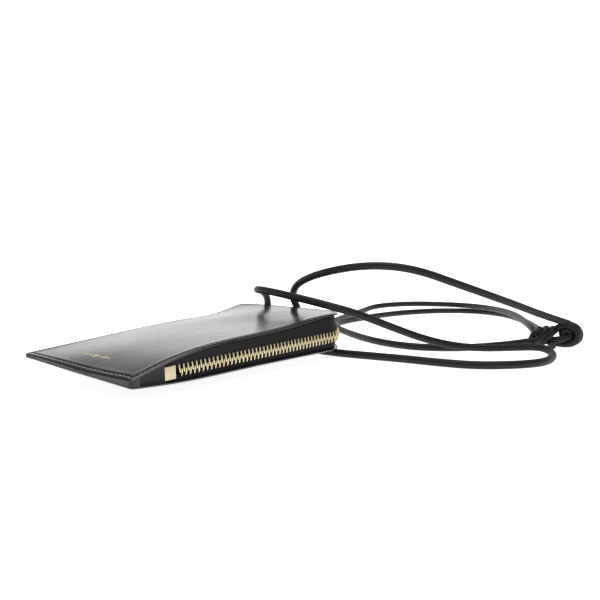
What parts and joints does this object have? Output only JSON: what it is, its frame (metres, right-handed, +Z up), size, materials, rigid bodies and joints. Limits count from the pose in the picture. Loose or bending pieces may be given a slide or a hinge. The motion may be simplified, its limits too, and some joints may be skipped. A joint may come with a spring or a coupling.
{
  "type": "neck pouch wallet",
  "caption": "Flat dark leather neck pouch with a pale gold metal zip round two sides, a sliding zip pull and a long round leather neck cord gathered in a knot.",
  "frame": {"origin": "under the middle of the box round the pouch and its cord tab, on the surface the pouch lies on", "axes": "+X along the pouch from its plain end towards the cord, +Y from the zipped long side to the closed long side, +Z up"},
  "size_m": [0.3851, 0.2213, 0.0533],
  "materials": {
    "outer_leather": "smooth polished grain with a soft sheen",
    "lining_fabric": "fine woven textile lining",
    "edge_leather": "painted cut edge, satin",
    "zip_tape": "woven tape, matt",
    "zip_metal": "polished pale gold",
    "cord_leather": "round leather cord, satin"
  },
  "bodies": {
    "pouch": {"front_panel": "outer_leather", "back_panel": "outer_leather", "front_lining": "lining_fabric", "back_lining": "lining_fabric", "card_pocket": "lining_fabric", "end_seam_filler": "edge_leather", "side_seam_filler": "edge_leather", "zip_start_gusset": "outer_leather", "zip_end_gusset": "outer_leather", "zip_tape_upper": "zip_tape", "zip_tape_lower": "zip_tape", "upper_teeth": "zip_metal", "upper_teeth_in_slider_travel": "zip_metal", "lower_teeth": "zip_metal", "lower_teeth_in_slider_travel": "zip_metal", "bottom_stop": "zip_metal", "top_stop_upper": "zip_metal", "top_stop_lower": "zip_metal", "cord_tab": "outer_leather", "neck_cord_front": "cord_leather", "neck_cord_arch": "cord_leather", "neck_cord_bight": "cord_leather", "neck_knot": "cord_leather", "knot_tail": "cord_leather"},
    "slider": {"slider_body": "zip_metal", "pull_pin": "zip_metal"},
    "pull": {"zip_pull": "zip_metal"}
  },
  "joints": [
    {"name": "slider_run", "type": "slide", "parent": "pouch", "child": "slider", "axis": [0, -0.9955, -0.0946], "range_m": [0, 0.036], "deforming": ["upper_teeth_in_slider_travel", "lower_teeth_in_slider_travel"]},
    {"name": "pull_hinge", "type": "hinge", "parent": "slider", "child": "pull", "pos_m": [0.06785, 0.01641, 0.01874], "axis": [0, 0.0946, -0.9955], "range_deg": [0, 165]}
  ]
}
